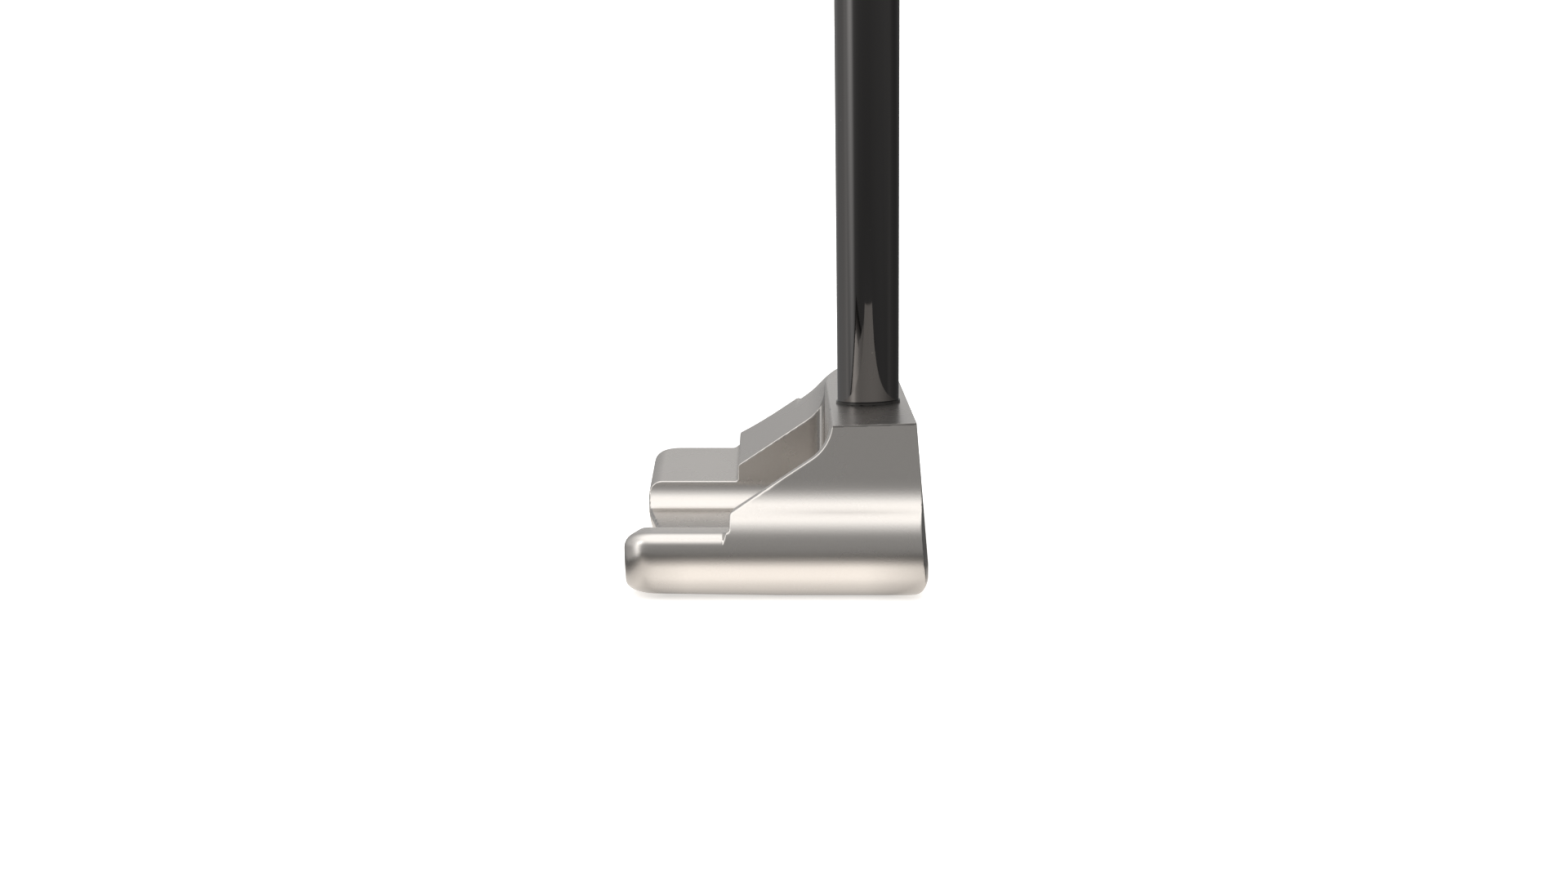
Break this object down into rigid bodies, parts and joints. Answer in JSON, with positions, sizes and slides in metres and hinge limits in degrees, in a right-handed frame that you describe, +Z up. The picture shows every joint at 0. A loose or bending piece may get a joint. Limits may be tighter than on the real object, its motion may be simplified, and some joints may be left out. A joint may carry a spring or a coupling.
{
  "type": "mallet putter",
  "caption": "Heel-shafted mallet putter with a milled steel winged head, a dark steel shaft and a rubber grip.",
  "frame": {"origin": "on the flat of the sole, midway between heel and toe and midway between the leading edge and the back of the wings", "axes": "+Z up, +X the way the face looks, -Y towards the heel and the grip, +Y towards the toe"},
  "size_m": [0.0436, 0.3408, 0.8372],
  "materials": {
    "milled_steel": "satin milled and bead-blasted",
    "weight_steel": "turned",
    "line_paint": "satin",
    "dark_shaft": "polished black plating",
    "epoxy": "gloss",
    "plug_plastic": "matte",
    "band_film": "gloss",
    "grip_rubber": "matte textured",
    "tape_paper": "matte"
  },
  "bodies": {
    "root": {"head_body": "milled_steel", "sight_line_fill": "line_paint", "heel_sole_weight": "weight_steel", "toe_sole_weight": "weight_steel", "shaft_tube": "dark_shaft", "shaft_bond": "epoxy", "shaft_base_bead": "epoxy", "shaft_tip_plug": "plug_plastic", "shaft_band": "band_film", "grip_sleeve": "grip_rubber", "grip_tape": "tape_paper", "grip_cap": "grip_rubber"}
  },
  "joints": []
}
